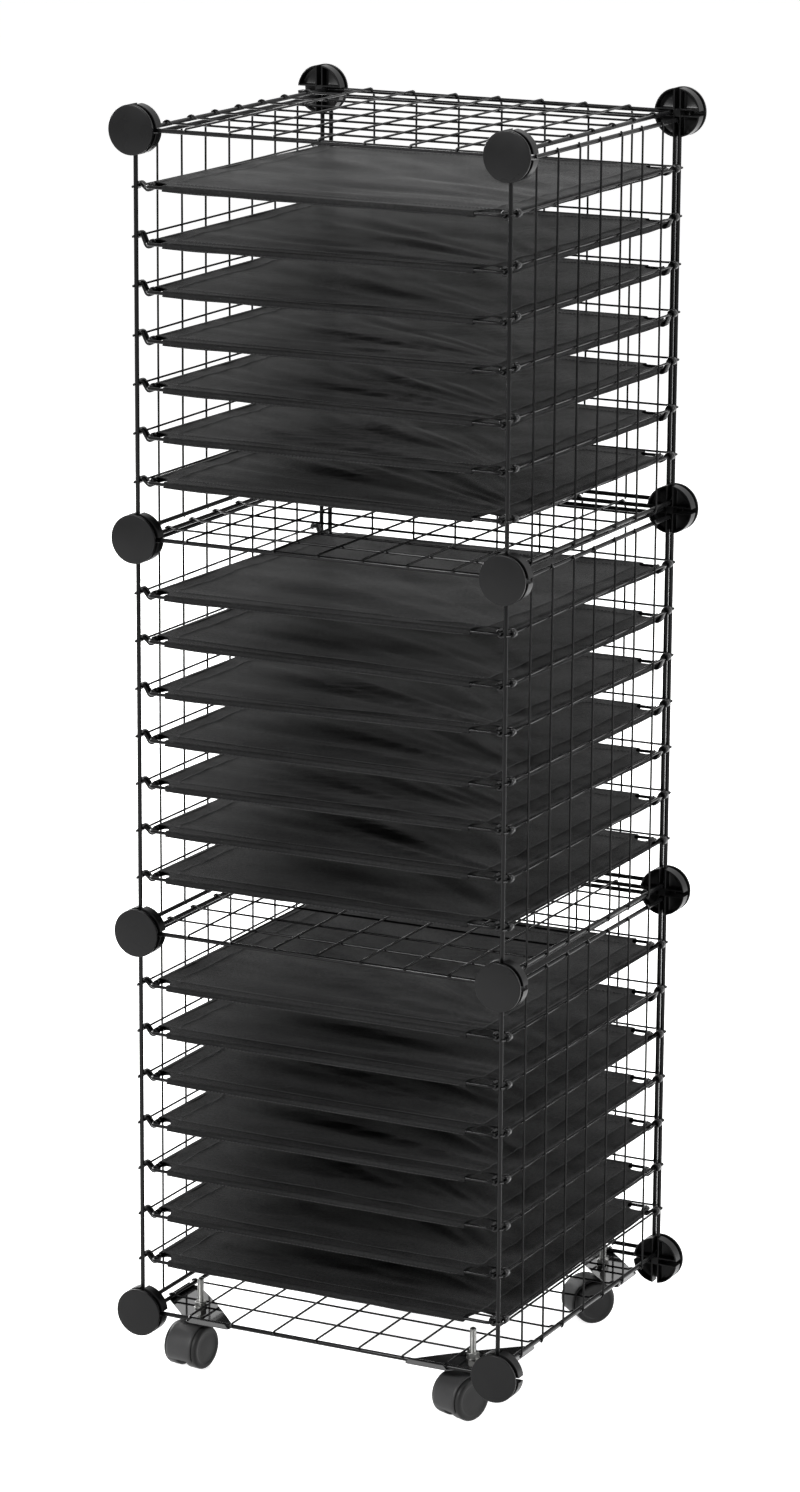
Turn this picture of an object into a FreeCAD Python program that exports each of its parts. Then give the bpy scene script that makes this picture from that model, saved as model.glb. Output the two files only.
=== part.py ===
import FreeCAD, Part
import os
import Sketcher

# Rolling tower of three wire-grid cubes with cloth paper shelves.
# Millimetres. X is the width, the open front faces -Y, Z is up, and the origin
# is on the floor under the middle of the tower.

doc = FreeCAD.newDocument("ShelfTower")

# ---------------------------------------------------------------- driving sizes

SIZES = {
    # wire-grid panels: a heavy square rod with seven wires welded across each way
    "tiers": 3,
    "panelSpan": 346,  # between the centre lines of opposite perimeter rods
    "panelCells": 8,  # open cells along each side
    "rodDiameter": 4,
    "wireDiameter": 2,
    "panelCorner": 8,  # bend radius of the perimeter rod
    "wireOverhang": 1.6,  # wire end beyond the perimeter rod
    # round plastic connectors at the corners
    "rodToAxis": 6.5,  # connector axis to the nearest perimeter rods
    "connectorDiameter": 44,
    "capThickness": 3,
    "grooveWidth": 4.5,
    "grooveCore": 18,  # diameter left inside the groove
    "lugDepth": 10,
    "slotClearance": 0.25,  # each side of a rod in its slot
    "rodSeat": 0.5,  # rod to the bottom of its slot
    "hubSide": 7,
    # cloth shelves on square wire frames, hung from the side panels' level wires
    "shelfWire": 3,
    "shelfInset": 9,  # frame's side wire inside the panel wire that carries it
    "shelfSetback": 2,  # frame's front and back wires inside the perimeter rods
    "shelfDrop": 5,  # frame below the panel wire that carries it
    "clothThickness": 0.8,
    "notchAlongFront": 28,  # half-moon cut at each corner of the cloth, from the corner
    "notchAlongSide": 14,
    "notchDepth": 21,  # deepest point of the cut, from both edges
    # double hooks that hang the frames on the side panels
    "clipLength": 7,
    "clipWall": 1.8,
    "clipClearance": 0.2,
    "clipSetback": 10,  # perimeter rod to the middle of the clip
    # corner plates under the base panel
    "plateThickness": 1,
    "plateLeg": 84,  # along each rod, from where the rods would cross
    "plateCut": 42,  # corner cut off
    "plateLip": 3,  # turned-up edge above the plate
    "plateClearance": 0.1,
    "plateBehindStem": 14.8,  # stem to the plate's long inner edge
    "wireToStem": 8.75,  # stem to the grid wires beside it, in the corner cell
    # twin-wheel casters
    "plateHeight": 50,  # floor to the underside of the plate
    "wheelDiameter": 40,
    "wheelWidth": 12.5,
    "wheelRimDepth": 0.8,
    "wheelRimWidth": 2.5,
    "wheelEndWall": 3.5,  # axle end to the wheel's outer face
    "casterTrail": 15,
    "webThickness": 9,
    "wheelClearance": 0.5,
    "hoodWall": 1.5,
    "hoodSide": 8.8,  # hood shell over each wheel, from the web
    "hoodHem": 10,  # lower edge of the hood above the floor
    "hoodMouth": 30,  # top of the opening on the side away from the trailing edge
    "bossDiameter": 16,
    "bossGap": 0.4,
    "collarDiameter": 11,
    "collarThickness": 2,
    "stemDiameter": 6,
    "stemTop": 80,
    "stemDepth": 20,  # stem inside the hood
    "runningClearance": 0.05,
    "axleDiameter": 4,
    "washerDiameter": 12,
    "washerThickness": 1.2,
    "nutAcrossFlats": 10,
    "nutHeight": 5,
    "swivelFrontLeft": 6.5,  # clockwise from above, with the axle behind the stem at zero
    "swivelFrontRight": 20,
    "swivelRearLeft": 12,
    "swivelRearRight": 40,
}

# sizes that follow from the driving ones
DERIVED = {
    "cubePitch": "panelSpan + 2 * rodToAxis",
    "cellPitch": "panelSpan / panelCells",
    "panelReach": "panelSpan / 2 + rodDiameter / 2 + wireOverhang",
    "wireOnRod": "(rodDiameter + wireDiameter) / 2",
    "wireUnder": "wireOnRod - wireDiameter",
    "slotWidth": "rodDiameter + 2 * slotClearance",
    "lugStart": "panelSpan / 2 + rodDiameter / 2 + rodSeat",
    "backPlane": "lugStart + grooveWidth / 2",
    "sidePlane": "cubePitch / 2",
    "shelfWidth": "2 * (sidePlane + wireUnder - shelfInset)",  # between centre lines of the side wires
    "shelfDepth": "panelSpan - 2 * shelfSetback",
    "basePlane": "plateHeight + plateThickness + rodDiameter / 2",
    "stemX": "panelSpan / 2 - cellPitch + wireToStem",
    "axleHeight": "wheelDiameter / 2",
    "wellRadius": "wheelDiameter / 2 + wheelClearance",
    "hoodRadius": "wellRadius + hoodWall",
    "hoodWidth": "webThickness + 2 * hoodSide",
    "bossStart": "axleHeight + sqrt(wellRadius^2 - (casterTrail - bossDiameter / 2)^2)",
    "bossTop": "plateHeight - collarThickness - bossGap",
    "wheelStart": "webThickness / 2 + wheelClearance",
    "axleReach": "wheelStart + wheelWidth - wheelEndWall",
}

sheet = doc.addObject("Spreadsheet::Sheet", "Sizes")
for row, (alias, value) in enumerate(SIZES.items(), start=1):
    sheet.set(f"A{row}", alias)
    sheet.set(f"B{row}", str(value))
    sheet.setAlias(f"B{row}", alias)
for row, (alias, formula) in enumerate(DERIVED.items(), start=len(SIZES) + 1):
    sheet.set(f"A{row}", alias)
    sheet.set(f"B{row}", "=" + formula)
    sheet.setAlias(f"B{row}", alias)
doc.recompute()


def expression(text):
    """Puts the sheet's name before every alias in a formula."""
    words, word = [], ""
    for letter in text + " ":
        if letter.isalnum():
            word += letter
            continue
        words.append(f"Sizes.{word}" if word in SIZES or word in DERIVED else word)
        words.append(letter)
        word = ""
    return "".join(words).strip()


def number(text):
    return float(sheet.evalExpression(expression(text)))


# ---------------------------------------------------------------- drawing helpers

COUNTS = {"wheel": "16", "lugs": "12", "stem": "8"}  # sides of a round outline as wide as that


def bind(item, prop, formula):
    item.setExpression(prop, expression(formula))


def origin_feature(body, role):
    return next(feature for feature in body.Origin.OriginFeatures if feature.Role == role)


def new_body(name):
    body = doc.addObject("PartDesign::Body", name)
    body.AllowCompound = True
    return body


def new_sketch(body, plane, name, height=None):
    sketch = body.newObject("Sketcher::SketchObject", name)
    sketch.AttachmentSupport = [(origin_feature(body, plane), "")]
    sketch.MapMode = "FlatFace"
    if height is not None:
        bind(sketch, "AttachmentOffset.Base.z", height)
    return sketch


def pin(sketch, direction, geometry, point, formula):
    """Ties one coordinate of a point to a formula."""
    index = sketch.addConstraint(
        Sketcher.Constraint(f"Distance{direction}", -1, 1, geometry, point, number(formula)))
    bind(sketch, f"Constraints[{index}]", formula)


def outline(sketch, corners):
    """Closed outline of straight sides through corners given as formulas."""
    places = [FreeCAD.Vector(number(x), number(y), 0) for x, y in corners]
    sides = [sketch.addGeometry(Part.LineSegment(start, finish))
             for start, finish in zip(places, places[1:] + places[:1])]
    for side, following in zip(sides, sides[1:] + sides[:1]):
        sketch.addConstraint(Sketcher.Constraint("Coincident", side, 2, following, 1))
    for side, (x, y) in zip(sides, corners):
        pin(sketch, "X", side, 1, x)
        pin(sketch, "Y", side, 1, y)


def disc(sketch, centre_x, centre_y, diameter, like="wheel", inside=True):
    """Round outline drawn in equal sides, all inside the circle or, for a hole, all outside it."""
    sides = int(COUNTS[like])
    step = 360 / sides
    radius = f"({diameter}) / 2" if inside else f"({diameter}) / 2 / cos({step / 2})"
    outline(sketch, [
        (f"{centre_x} + {radius} * cos({step * (side + 0.5)})",
         f"{centre_y} + {radius} * sin({step * (side + 0.5)})")
        for side in range(sides)
    ])


def square(centre_x, centre_y, across):
    half = f"({across}) / 2"
    right, left = f"{centre_x} + {half}", f"{centre_x} - {half}"
    low, high = f"{centre_y} - {half}", f"{centre_y} + {half}"
    return [(right, low), (right, high), (left, high), (left, low)]


def hexagon(centre_x, centre_y, across):
    """Six corners, in order, with two flats level and the given size between them."""
    half, low = f"({across}) / 2", f"({across}) * 0.5 / sqrt(3)"
    far = f"({across}) / sqrt(3)"
    return [
        (f"{centre_x} + {far}", centre_y), (f"{centre_x} + {low}", f"{centre_y} + {half}"),
        (f"{centre_x} - {low}", f"{centre_y} + {half}"), (f"{centre_x} - {far}", centre_y),
        (f"{centre_x} - {low}", f"{centre_y} - {half}"), (f"{centre_x} + {low}", f"{centre_y} - {half}"),
    ]


def bent_square(sketch, half_x, half_y, corner):
    """Closed wire path with its corners cut at 45 degrees."""
    in_x, in_y = f"({half_x} - {corner})", f"({half_y} - {corner})"
    outline(sketch, [
        (half_x, in_y), (in_x, half_y), (f"-{in_x}", half_y), (f"-{half_x}", in_y),
        (f"-{half_x}", f"-{in_y}"), (f"-{in_x}", f"-{half_y}"), (in_x, f"-{half_y}"), (half_x, f"-{in_y}"),
    ])


def pad(body, sketch, length, symmetric=False, backwards=False):
    feature = body.newObject("PartDesign::Pad", f"{sketch.Name}Pad")
    feature.Profile = sketch
    bind(feature, "Length", length)
    feature.SideType = "Symmetric" if symmetric else "One side"
    feature.Reversed = backwards
    return feature


def pocket(body, sketch, length=None, symmetric=False, backwards=False):
    feature = body.newObject("PartDesign::Pocket", f"{sketch.Name}Pocket")
    feature.Profile = sketch
    feature.SideType = "Symmetric" if symmetric else "One side"
    feature.Reversed = backwards
    if length is None:
        feature.Type = "ThroughAll"
    else:
        bind(feature, "Length", length)
    return feature


def sweep(body, profile, path):
    feature = body.newObject("PartDesign::AdditivePipe", f"{path.Name}Pipe")
    feature.Profile = profile
    feature.Spine = path
    feature.Transition = "Right corner"
    return feature


def row_of(body, feature, axis, spacing, count):
    """Repeats a feature in a row that starts where it was drawn."""
    doc.recompute()
    pattern = body.newObject("PartDesign::LinearPattern", f"{feature.Name}Row")
    pattern.Originals = [feature]
    pattern.Direction = (origin_feature(body, axis), [""])
    pattern.Mode = "Spacing"
    bind(pattern, "Offset", spacing)
    bind(pattern, "Occurrences", count)
    body.Tip = pattern
    return pattern


def ring_of(body, features, axis, count):
    doc.recompute()
    pattern = body.newObject("PartDesign::PolarPattern", f"{features[0].Name}Ring")
    pattern.Originals = features
    pattern.Axis = (origin_feature(body, axis), [""])
    pattern.Angle = 360
    pattern.Occurrences = count
    body.Tip = pattern
    return pattern


# ---------------------------------------------------------------- placing helpers

UPRIGHT = FreeCAD.Rotation()
FACES = {  # where a flat panel's own X, Y and wire side point once it stands up
    "floor": UPRIGHT,
    "right": FreeCAD.Rotation(*[FreeCAD.Vector(v) for v in ((0, 1, 0), (0, 0, 1), (1, 0, 0))], "ZXY"),
    "left": FreeCAD.Rotation(*[FreeCAD.Vector(v) for v in ((0, -1, 0), (0, 0, 1), (-1, 0, 0))], "ZXY"),
    "back": FreeCAD.Rotation(*[FreeCAD.Vector(v) for v in ((-1, 0, 0), (0, 0, 1), (0, 1, 0))], "ZXY"),
}


def placed(label, pieces, x="0", y="0", z="0", rotation=UPRIGHT, swivel=None):
    """A sub-part made of other shapes, moved as one; its place follows the sheet."""
    part = doc.addObject("Part::Compound", label)
    part.Links = pieces
    part.Placement = FreeCAD.Placement(FreeCAD.Vector(), rotation)
    if swivel:
        part.Placement.Rotation = FreeCAD.Rotation(FreeCAD.Vector(0, 0, -1), 1)
        bind(part, "Placement.Rotation.Angle", swivel)
    for direction, formula in zip("xyz", (x, y, z)):
        if formula != "0":
            bind(part, f"Placement.Base.{direction}", formula)
    return part


nodes = []


def node(label, pieces, **place):
    part = placed(label, pieces, **place)
    nodes.append(part)
    return part


# ---------------------------------------------------------------- wire-grid panel

def panel_rod():
    """Heavy square rod with its section six-sided and its flats level."""
    body = new_body("PanelRod")
    path = new_sketch(body, "XY_Plane", "PanelRodPath")
    bent_square(path, "panelSpan / 2", "panelSpan / 2", "panelCorner")
    section = new_sketch(body, "XZ_Plane", "PanelRodSection")
    outline(section, hexagon("panelSpan / 2", "0", "rodDiameter"))
    sweep(body, section, path)
    return body


def wires_along():
    """Straight wires on top of the rod, running along the panel's own Y."""
    body = new_body("WiresAlong")
    section = new_sketch(body, "XZ_Plane", "AlongSection")
    outline(section, square("(cellPitch - panelSpan / 2)", "wireOnRod", "wireDiameter"))
    wire = pad(body, section, "2 * panelReach", symmetric=True)
    row_of(body, wire, "X_Axis", "cellPitch", "panelCells - 1")
    return body


def wires_across():
    """Straight wires under the first ones, ending against the inside of the rod."""
    body = new_body("WiresAcross")
    section = new_sketch(body, "YZ_Plane", "AcrossSection")
    outline(section, square("(cellPitch - panelSpan / 2)", "wireUnder", "wireDiameter"))
    wire = pad(body, section, "panelSpan - 2 * rodDiameter / sqrt(3)", symmetric=True)
    row_of(body, wire, "Y_Axis", "cellPitch", "panelCells - 1")
    return body


def add_panels(tiers):
    grid = [panel_rod(), wires_along(), wires_across()]
    floors = ["base_panel"] + [f"floor_{tier}_panel" for tier in range(1, tiers)] + ["top_panel"]
    for level, label in enumerate(floors):
        node(label, grid, z=f"basePlane + {level} * cubePitch")
    for tier in range(tiers):
        height = f"basePlane + {tier + 0.5} * cubePitch"
        node(f"tier_{tier + 1}_right_panel", grid, x="sidePlane", z=height, rotation=FACES["right"])
        node(f"tier_{tier + 1}_left_panel", grid, x="-sidePlane", z=height, rotation=FACES["left"])
        node(f"tier_{tier + 1}_back_panel", grid, y="backPlane", z=height, rotation=FACES["back"])


# ---------------------------------------------------------------- corner connector

def connector():
    """Round cap, groove and four lugs; the lugs' tops are at Z = 0 and the cap points up."""
    body = new_body("Connector")
    lugs = new_sketch(body, "XY_Plane", "LugDisc")
    disc(lugs, "0", "0", "connectorDiameter", "lugs")
    pad(body, lugs, "lugDepth", backwards=True)
    slot = new_sketch(body, "XY_Plane", "Slot")
    outline(slot, [("hubSide / 2", "-slotWidth / 2"), ("connectorDiameter", "-slotWidth / 2"),
                   ("connectorDiameter", "slotWidth / 2"), ("hubSide / 2", "slotWidth / 2")])
    ring_of(body, [pocket(body, slot, "lugDepth")], "Z_Axis", 4)
    core = new_sketch(body, "XY_Plane", "GrooveCore")
    disc(core, "0", "0", "grooveCore", "stem")
    pad(body, core, "grooveWidth + capThickness / 2")
    cap = new_sketch(body, "XY_Plane", "Cap", "grooveWidth")
    disc(cap, "0", "0", "connectorDiameter")
    pad(body, cap, "capThickness")
    return body


def add_connectors(tiers):
    pattern = connector()
    for label, side, turn in (("front_connectors", "-", 90), ("rear_connectors", "", -90)):
        rotation = FreeCAD.Rotation(FreeCAD.Vector(1, 0, 0), turn)
        row = []
        for level in range(tiers + 1):
            for hand in ("-", ""):
                row.append(placed(f"{label}_{level}{hand and 'L'}", [pattern], x=f"{hand}sidePlane",
                                  y=f"{side}lugStart", z=f"basePlane + {level} * cubePitch",
                                  rotation=rotation))
        node(label, row)


# ---------------------------------------------------------------- cloth shelves

def shelf_frames():
    """One cube's square wire frames, the lowest one level with Z = 0."""
    body = new_body("ShelfFrames")
    path = new_sketch(body, "XY_Plane", "ShelfPath")
    half_x, half_y = "shelfWidth / 2", "shelfDepth / 2"
    outline(path, [(half_x, f"-{half_y}"), (half_x, half_y), (f"-{half_x}", half_y),
                   (f"-{half_x}", f"-{half_y}")])
    section = new_sketch(body, "XZ_Plane", "ShelfSection")
    outline(section, hexagon("shelfWidth / 2", "0", "shelfWire"))
    frame = sweep(body, section, path)
    row_of(body, frame, "Z_Axis", "cellPitch", "panelCells - 1")
    return body


def shelf_cloth():
    """Cloth lying on the frame wires, with a hollow cut at each corner for the clip."""
    body = new_body("ShelfCloth")
    edge_x, edge_y = "(shelfWidth / 2 + shelfWire / 2)", "(shelfDepth / 2 + shelfWire / 2)"
    quarter = [(edge_x, f"({edge_y} - notchAlongSide)"),
               (f"({edge_x} - notchDepth)", f"({edge_y} - notchDepth)"),
               (f"({edge_x} - notchAlongFront)", edge_y)]
    sketch = new_sketch(body, "XY_Plane", "ClothOutline", "shelfWire / 2")
    outline(sketch, quarter + [("-" + x, y) for x, y in quarter[::-1]]
            + [("-" + x, "-" + y) for x, y in quarter] + [(x, "-" + y) for x, y in quarter[::-1]])
    pad(body, sketch, "clothThickness")
    return body


def clip_column():
    """Double hooks up one corner: over the panel's wire, and under the shelf frame's wire."""
    body = new_body("ClipColumn")
    grip, seat = "(wireDiameter / 2 + clipClearance)", "(shelfWire / sqrt(3) + clipClearance)"
    frame_wire = "(shelfWidth / 2 - sidePlane - wireUnder)"
    top, floor = f"({grip} + clipWall)", f"(-shelfDrop - {seat})"
    inner, outer = f"({frame_wire} - {seat})", f"({frame_wire} + {seat})"
    profile = new_sketch(body, "XZ_Plane", "ClipProfile")
    outline(profile, [
        (top, f"-{grip}"), (grip, grip), (f"-{grip}", grip), (f"{outer} + clipWall", f"{floor} - clipWall"),
        (f"{inner} - clipWall", f"{floor} - clipWall"), (f"{inner} - clipWall", f"{seat} - shelfDrop"),
        (inner, floor), (outer, floor), (outer, f"{seat} - shelfDrop"), (f"-{top}", top), (top, top),
    ])
    clip = pad(body, profile, "clipLength", symmetric=True)
    row_of(body, clip, "Z_Axis", "cellPitch", "panelCells - 1")
    return body


def add_shelves(tiers, shelves):
    frames, cloth, clips = shelf_frames(), shelf_cloth(), clip_column()
    half_turn = FreeCAD.Rotation(FreeCAD.Vector(0, 0, 1), 180)
    columns = []
    for tier in range(tiers):
        first_wire = f"basePlane + {tier} * cubePitch + rodToAxis + cellPitch"
        node(f"tier_{tier + 1}_shelf_frames", [frames], z=f"{first_wire} - shelfDrop")
        for shelf in range(shelves):
            node(f"tier_{tier + 1}_shelf_{shelf + 1}_cloth", [cloth],
                 z=f"{first_wire} - shelfDrop + {shelf} * cellPitch")
        for hand, rotation in (("", UPRIGHT), ("-", half_turn)):
            for end in ("-", ""):
                columns.append(placed(f"clips_{len(columns)}", [clips], z=first_wire,
                                      x=f"{hand}(sidePlane + wireUnder)",
                                      y=f"{end}(panelSpan / 2 - clipSetback)", rotation=rotation))
    node("shelf_clips", columns)


# ---------------------------------------------------------------- corner plates and stems

def corner_plate():
    """Plate under the base panel's right rear corner, its outer edges turned up outside the rods."""
    body = new_body("CornerPlate")
    lip_inside = "(panelSpan / 2 + rodDiameter / sqrt(3) + plateClearance)"
    lip_outside = f"({lip_inside} + plateThickness)"
    far, near = "(panelSpan / 2 - plateLeg)", "(panelSpan / 2 - plateCut)"
    tip = f"(2 * stemX - sqrt(2) * plateBehindStem - {far})"
    sheet_metal = new_sketch(body, "XY_Plane", "PlateOutline", "plateHeight")
    outline(sheet_metal, [(lip_outside, far), (lip_outside, near), (near, lip_outside), (far, lip_outside),
                          (far, tip), (tip, far)])
    pad(body, sheet_metal, "plateThickness")
    lips = new_sketch(body, "XY_Plane", "PlateLips", "plateHeight")
    outline(lips, [(lip_inside, far), (lip_outside, far), (lip_outside, near), (lip_inside, near)])
    outline(lips, [(far, lip_inside), (far, lip_outside), (near, lip_outside), (near, lip_inside)])
    pad(body, lips, "plateThickness + plateLip")
    hole = new_sketch(body, "XY_Plane", "StemHole", "plateHeight")
    disc(hole, "stemX", "stemX", "stemDiameter + 2 * plateClearance", "stem", inside=False)
    pocket(body, hole, "plateThickness", backwards=True)
    return body


def caster_stem():
    """Steel pin with a collar under the plate; its threaded end stands above the nut."""
    body = new_body("CasterStem")
    pin_section = new_sketch(body, "XY_Plane", "StemSection", "bossTop - stemDepth")
    disc(pin_section, "0", "0", "stemDiameter", "stem")
    pad(body, pin_section, "stemTop - bossTop + stemDepth")
    collar = new_sketch(body, "XY_Plane", "CollarSection", "plateHeight - collarThickness")
    disc(collar, "0", "0", "collarDiameter", "stem")
    pad(body, collar, "collarThickness")
    return body


def stem_washer():
    body = new_body("StemWasher")
    ring = new_sketch(body, "XY_Plane", "WasherRing", "plateHeight + plateThickness")
    disc(ring, "0", "0", "washerDiameter", "lugs")
    disc(ring, "0", "0", "stemDiameter + 2 * plateClearance", "stem", inside=False)
    pad(body, ring, "washerThickness")
    return body


def stem_nut():
    body = new_body("StemNut")
    section = new_sketch(body, "XY_Plane", "NutSection", "plateHeight + plateThickness + washerThickness")
    outline(section, hexagon("0", "0", "nutAcrossFlats"))
    disc(section, "0", "0", "stemDiameter + 2 * runningClearance", "stem", inside=False)
    pad(body, section, "nutHeight")
    return body


CORNERS = {  # plate turn, sign of X, sign of Y and rest swivel of each corner
    "front_left": (180, "-", "-", "swivelFrontLeft"),
    "front_right": (-90, "", "-", "swivelFrontRight"),
    "rear_left": (90, "-", "", "swivelRearLeft"),
    "rear_right": (0, "", "", "swivelRearRight"),
}


def add_corner_hardware():
    plate, fasteners = corner_plate(), (caster_stem(), stem_washer(), stem_nut())
    turned = [placed(f"plate_{corner}", [plate], rotation=FreeCAD.Rotation(FreeCAD.Vector(0, 0, 1), turn))
              for corner, (turn, _, _, _) in CORNERS.items()]
    node("corner_plates", turned)
    for label, piece in zip(("caster_stems", "stem_washers", "stem_nuts"), fasteners):
        node(label, [placed(f"{label}_{corner}", [piece], x=f"{x}stemX", y=f"{y}stemX")
                     for corner, (_, x, y, _) in CORNERS.items()])


# ---------------------------------------------------------------- twin-wheel casters

def caster_hood():
    """Hood over both wheels: a central web, a shell over the treads and a boss for the stem.

    The stem is on the Z axis, and the axle trails it towards -Y.
    """
    body = new_body("CasterHood")
    shell = new_sketch(body, "YZ_Plane", "HoodSide")
    disc(shell, "-casterTrail", "axleHeight", "2 * hoodRadius")
    pad(body, shell, "hoodWidth", symmetric=True)
    housing = new_sketch(body, "YZ_Plane", "StemHousing")
    boss = "bossDiameter / 2"
    outline(housing, [(f"-{boss}", "axleHeight"), (boss, "axleHeight"), (boss, "bossStart"),
                      (f"-{boss}", "bossStart")])
    pad(body, housing, "webThickness", symmetric=True)
    neck = new_sketch(body, "XY_Plane", "StemBoss", "bossStart")
    disc(neck, "0", "0", "bossDiameter", "lugs")
    pad(body, neck, "bossTop - bossStart")

    well = new_sketch(body, "YZ_Plane", "WheelWell", "webThickness / 2")
    disc(well, "-casterTrail", "axleHeight", "2 * wellRadius", inside=False)
    well_cut = pocket(body, well, "hoodSide", backwards=True)
    mouth = new_sketch(body, "YZ_Plane", "WheelMouth", "webThickness / 2")
    outline(mouth, [("-casterTrail", "0"), ("axleHeight", "0"), ("axleHeight", "hoodMouth"),
                    ("-casterTrail", "hoodMouth")])
    mouth_cut = pocket(body, mouth, "hoodSide", backwards=True)
    doc.recompute()
    both_sides = body.newObject("PartDesign::Mirrored", "BothSides")
    both_sides.Originals = [well_cut, mouth_cut]
    both_sides.MirrorPlane = (origin_feature(body, "YZ_Plane"), [""])
    body.Tip = both_sides

    hem = new_sketch(body, "YZ_Plane", "HoodHem")
    outline(hem, [("-casterTrail - 2 * hoodRadius", "-hoodRadius"), ("2 * hoodRadius", "-hoodRadius"),
                  ("2 * hoodRadius", "hoodHem"), ("-casterTrail - 2 * hoodRadius", "hoodHem")])
    pocket(body, hem, "2 * hoodWidth", symmetric=True)
    bore = new_sketch(body, "XY_Plane", "StemBore", "bossTop")
    disc(bore, "0", "0", "stemDiameter + 2 * runningClearance", "stem", inside=False)
    pocket(body, bore, "stemDepth + bossGap")
    axle_hole = new_sketch(body, "YZ_Plane", "AxleHole")
    disc(axle_hole, "-casterTrail", "axleHeight", "axleDiameter", "stem")
    pocket(body, axle_hole, "2 * webThickness", symmetric=True)
    return body


def caster_wheel(name, side):
    """One wheel with a raised rim on its outer face and a blind bore for the axle."""
    body = new_body(name)
    left = side == "left"
    sign = "-" if left else ""
    tread = new_sketch(body, "YZ_Plane", f"{name}Tread", f"{sign}wheelStart")
    disc(tread, "-casterTrail", "axleHeight", "wheelDiameter", inside=False)
    pad(body, tread, "wheelWidth", backwards=left)
    dish = new_sketch(body, "YZ_Plane", f"{name}Dish", f"{sign}(wheelStart + wheelWidth)")
    disc(dish, "-casterTrail", "axleHeight", "wheelDiameter - 2 * wheelRimWidth")
    pocket(body, dish, "wheelRimDepth", backwards=left)
    bore = new_sketch(body, "YZ_Plane", f"{name}Bore", f"{sign}wheelStart")
    disc(bore, "-casterTrail", "axleHeight", "axleDiameter + 2 * runningClearance", "stem",
         inside=False)
    pocket(body, bore, "axleReach - wheelStart + wheelClearance", backwards=not left)
    return body


def caster_axle():
    body = new_body("CasterAxle")
    section = new_sketch(body, "YZ_Plane", "AxleSection")
    disc(section, "-casterTrail", "axleHeight", "axleDiameter", "stem")
    pad(body, section, "2 * axleReach", symmetric=True)
    return body


def add_casters():
    pieces = {
        "hood": caster_hood(), "axle": caster_axle(),
        "left_wheel": caster_wheel("LeftWheel", "left"),
        "right_wheel": caster_wheel("RightWheel", "right"),
    }
    for corner, (_, x, y, swivel) in CORNERS.items():
        for piece, body in pieces.items():
            node(f"{corner}_caster_{piece}", [body], x=f"{x}stemX", y=f"{y}stemX", swivel=swivel)


# ---------------------------------------------------------------- build, check and write

TIERS = int(SIZES["tiers"])
add_panels(TIERS)
add_connectors(TIERS)
add_shelves(TIERS, int(SIZES["panelCells"]) - 1)
add_corner_hardware()
add_casters()
doc.recompute()

for item in doc.Objects:
    if "Invalid" in item.State or "Error" in item.State:
        raise RuntimeError(f"{item.Label} failed: {item.State}")
os.makedirs("parts", exist_ok=True)
for part in nodes:
    if part.Shape.isNull() or not part.Shape.isValid():
        raise RuntimeError(f"{part.Label} has no valid shape")
    part.Shape.exportStep(f"parts/{part.Label}.step")
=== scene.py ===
import bpy
import numpy as np
from mathutils import Matrix


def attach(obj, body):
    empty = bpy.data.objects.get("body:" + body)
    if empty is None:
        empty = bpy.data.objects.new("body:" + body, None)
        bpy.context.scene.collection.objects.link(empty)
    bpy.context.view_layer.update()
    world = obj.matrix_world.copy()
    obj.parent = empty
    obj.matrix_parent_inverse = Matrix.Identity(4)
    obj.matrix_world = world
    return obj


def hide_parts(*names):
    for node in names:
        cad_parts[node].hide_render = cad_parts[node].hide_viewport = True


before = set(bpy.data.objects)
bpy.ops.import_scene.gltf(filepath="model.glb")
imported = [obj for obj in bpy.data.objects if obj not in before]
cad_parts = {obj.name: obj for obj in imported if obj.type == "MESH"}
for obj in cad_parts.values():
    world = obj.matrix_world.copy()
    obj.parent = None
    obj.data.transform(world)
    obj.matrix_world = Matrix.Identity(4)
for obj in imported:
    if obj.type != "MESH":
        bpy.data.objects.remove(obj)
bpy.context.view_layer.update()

# Rolling tower of three wire-grid cubes with cloth paper shelves.
# Lengths are in millimetres here and become metres when a mesh is made.

scene = bpy.context.scene
chance = np.random.default_rng(41)  # small unevenness of the wires, the same in every run
xAxis, yAxis, zAxis = np.eye(3)
millimetre = 0.001
# axes turned by 0, 90, 180 and 270 degrees, counter-clockwise from above
quarters = [((cos, sin, 0), (-sin, cos, 0), zAxis) for cos, sin in ((1, 0), (0, 1), (-1, 0), (0, -1))]


# Shapes. A surface is its points, its faces and the number of its material, and for cloth its flat places too.

def around(sides):
    return np.arange(sides) * 2 * np.pi / sides


def onCircle(angle):
    return np.stack([np.cos(angle), np.sin(angle)], -1)


def ringsAt(radii, angle, heights):
    # radius * (cos angle, sin angle) at each height
    radii, angle, heights = np.broadcast_arrays(radii, angle, heights)
    return np.concatenate([radii[..., None] * onCircle(angle), heights[..., None]], -1)


def skin(rings, closedPath=False):
    # Rings of equal size are joined with four-sided faces; an open row of rings gets a flat cap at each end.
    rows, sides = rings.shape[:2]
    index = np.arange(rows * sides).reshape(rows, sides)
    above = np.roll(index, -1, 0)
    faces = np.stack([index, np.roll(index, -1, 1), np.roll(above, -1, 1), above], -1)
    if closedPath:
        return rings.reshape(-1, 3), [faces.reshape(-1, 4)], 0
    return rings.reshape(-1, 3), [faces[:-1].reshape(-1, 4), index[:1, ::-1], index[-1:]], 0


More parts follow.
